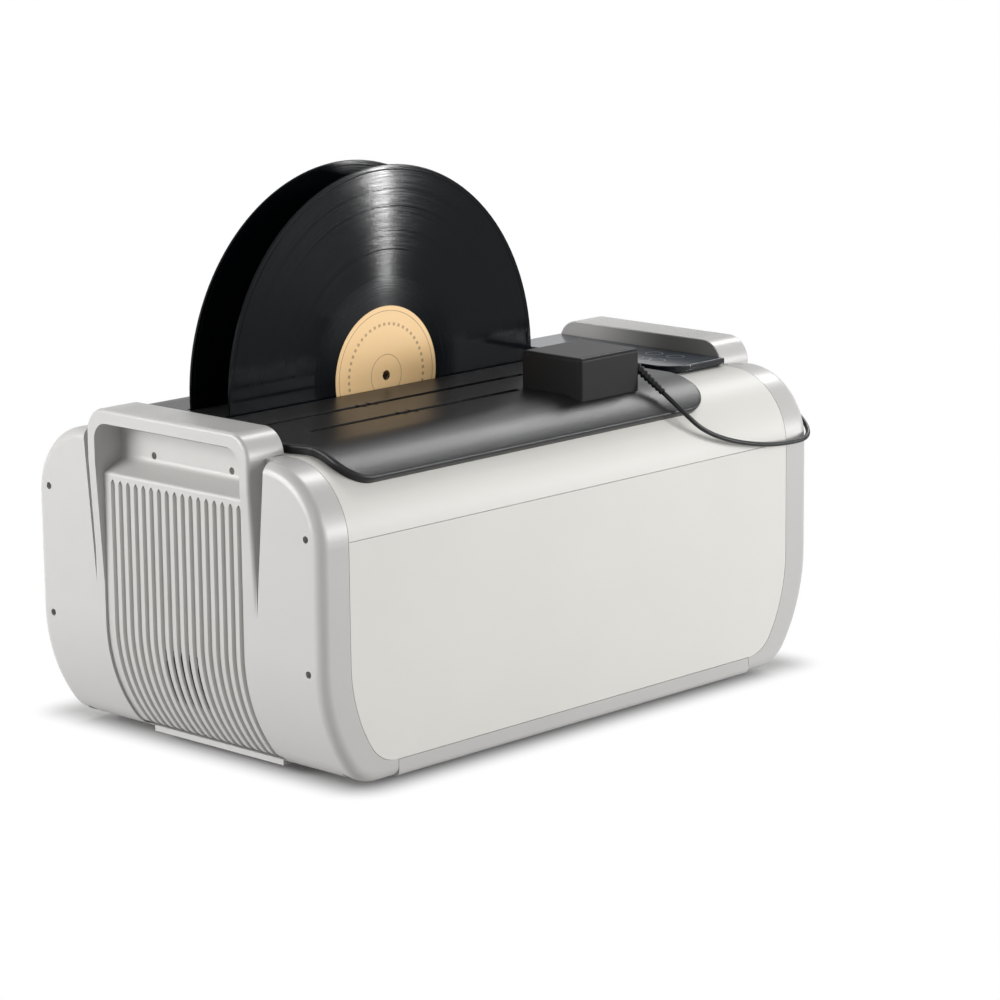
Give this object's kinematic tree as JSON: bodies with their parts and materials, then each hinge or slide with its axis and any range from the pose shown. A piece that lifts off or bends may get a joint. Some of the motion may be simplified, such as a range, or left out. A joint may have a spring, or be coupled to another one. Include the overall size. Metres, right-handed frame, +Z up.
{
  "type": "record cleaning machine",
  "caption": "Bench-top ultrasonic record cleaner: rounded casing with end handles, slotted lift-off lid carrying a motor-driven wheel train, tank, touch panel and two records.",
  "frame": {"origin": "on the floor under the middle of the body", "axes": "+X along the long side towards the control panel, +Y to the back, +Z up"},
  "size_m": [0.5172, 0.2957, 0.3908],
  "materials": {
    "off_white": "semi-gloss moulded",
    "cool_grey": "satin moulded",
    "black_plastic": "fine-grained",
    "gloss_black": "polished",
    "stainless": "brushed",
    "zinc_plate": "zinc plated sheet",
    "screw_steel": "plated",
    "rubber": "moulded",
    "nylon": "moulded",
    "aluminium": "cast",
    "brass": "plated",
    "circuit_board": "solder mask",
    "vinyl": "grooved",
    "label_paper": "printed paper"
  },
  "bodies": {
    "base": {"right_end_cap": "cool_grey", "left_end_cap": "cool_grey", "handle_liners": "black_plastic", "end_cap_screws": "screw_steel", "dc_plug": "black_plastic", "dc_jack": "black_plastic", "top_cover": "off_white", "front_panel": "off_white", "rear_panel": "off_white", "base_pan": "cool_grey", "feet": "rubber", "right_end_frame": "zinc_plate", "left_end_frame": "zinc_plate", "tank": "stainless", "tank_seal": "rubber", "transducers": "aluminium", "drain_valve": "brass", "mains_inlet": "black_plastic", "switch_bezel": "black_plastic", "fan_frame": "black_plastic", "generator_board": "circuit_board", "board_posts": "nylon", "board_parts": "aluminium", "control_panel": "gloss_black", "touch_board": "circuit_board", "lead_body": "rubber"},
    "lid": {"lid_deck": "black_plastic", "motor_housing": "black_plastic", "drive_motor": "zinc_plate", "front_hanger": "stainless", "middle_hanger": "stainless", "back_hanger": "stainless", "tie_rods": "stainless", "shaft_bushes": "nylon", "lead_lid": "rubber", "lead_relief": "rubber"},
    "front_record": {"front_record": "vinyl", "front_labels": "label_paper"},
    "rear_record": {"rear_record": "vinyl", "rear_labels": "label_paper"},
    "lp_drive": {"lp_drive_shaft": "stainless", "lp_gear": "nylon", "lp_drive_wheels": "rubber"},
    "ten_drive": {"ten_drive_shaft": "stainless", "ten_gear": "nylon", "ten_drive_wheel": "rubber"},
    "seven_drive": {"seven_drive_shaft": "stainless", "seven_gear": "nylon", "seven_drive_wheel": "rubber"},
    "middle_gear": {"middle_gear": "nylon"},
    "motor_pinion": {"motor_pinion": "brass"},
    "lp_idler": {"lp_idler_shaft": "stainless", "lp_idler_wheels": "rubber"},
    "ten_idler": {"ten_idler_shaft": "stainless", "ten_idler_wheel": "rubber"},
    "seven_idler": {"seven_idler_shaft": "stainless", "seven_idler_wheel": "rubber"},
    "fan_rotor": {"fan_rotor": "black_plastic"},
    "switch_rocker": {"switch_rocker": "black_plastic"},
    "drain_lever": {"drain_lever": "black_plastic"}
  },
  "joints": [
    {"name": "lid_lift", "type": "slide", "parent": "base", "child": "lid", "axis": [0, 0, 1], "range_m": [0, 0.14]},
    {"name": "front_record_spin", "type": "hinge", "parent": "lid", "child": "front_record", "pos_m": [-0.0275, 0.02, 0.24], "axis": [0, 1, 0], "continuous": true},
    {"name": "rear_record_spin", "type": "hinge", "parent": "lid", "child": "rear_record", "pos_m": [-0.0275, 0.06, 0.24], "axis": [0, 1, 0], "continuous": true},
    {"name": "lp_drive_spin", "type": "hinge", "parent": "lid", "child": "lp_drive", "pos_m": [0.08801, 0.02, 0.1277], "axis": [0, 1, 0], "continuous": true},
    {"name": "ten_drive_spin", "type": "hinge", "parent": "lid", "child": "ten_drive", "pos_m": [0.04171, -0.02, 0.14037], "axis": [0, 1, 0], "continuous": true},
    {"name": "seven_drive_spin", "type": "hinge", "parent": "lid", "child": "seven_drive", "pos_m": [-0.00446, -0.06, 0.1643], "axis": [0, 1, 0], "continuous": true},
    {"name": "middle_gear_spin", "type": "hinge", "parent": "lid", "child": "middle_gear", "pos_m": [0.06409, -0.0705, 0.19604], "axis": [0, 1, 0], "continuous": true},
    {"name": "motor_pinion_spin", "type": "hinge", "parent": "lid", "child": "motor_pinion", "pos_m": [0.06505, -0.0705, 0.24203], "axis": [0, 1, 0], "continuous": true},
    {"name": "lp_idler_spin", "type": "hinge", "parent": "lid", "child": "lp_idler", "pos_m": [-0.12668, 0.02, 0.11305], "axis": [0, 1, 0], "continuous": true},
    {"name": "ten_idler_spin", "type": "hinge", "parent": "lid", "child": "ten_idler", "pos_m": [-0.14097, -0.02, 0.13235], "axis": [0, 1, 0], "continuous": true},
    {"name": "seven_idler_spin", "type": "hinge", "parent": "lid", "child": "seven_idler", "pos_m": [-0.14514, -0.06, 0.16184], "axis": [0, 1, 0], "continuous": true},
    {"name": "fan_spin", "type": "hinge", "parent": "base", "child": "fan_rotor", "pos_m": [-0.2119, 0, 0.062], "axis": [1, 0, 0], "continuous": true},
    {"name": "power_switch", "type": "hinge", "parent": "base", "child": "switch_rocker", "pos_m": [0.104, 0.134, 0.052], "axis": [1, 0, 0], "range_deg": [0, 12]},
    {"name": "drain_turn", "type": "hinge", "parent": "base", "child": "drain_lever", "pos_m": [-0.15, 0.123, 0.068], "axis": [0, 0, 1], "range_deg": [0, 90]}
  ],
  "couplings": [
    {"joint": "rear_record_spin", "follows": "front_record_spin", "ratio": 1},
    {"joint": "lp_drive_spin", "follows": "front_record_spin", "ratio": -15.08},
    {"joint": "lp_idler_spin", "follows": "front_record_spin", "ratio": -15.08},
    {"joint": "ten_drive_spin", "follows": "front_record_spin", "ratio": 15.08},
    {"joint": "seven_drive_spin", "follows": "front_record_spin", "ratio": -12.926},
    {"joint": "middle_gear_spin", "follows": "front_record_spin", "ratio": -10.053},
    {"joint": "motor_pinion_spin", "follows": "front_record_spin", "ratio": 36.192}
  ]
}
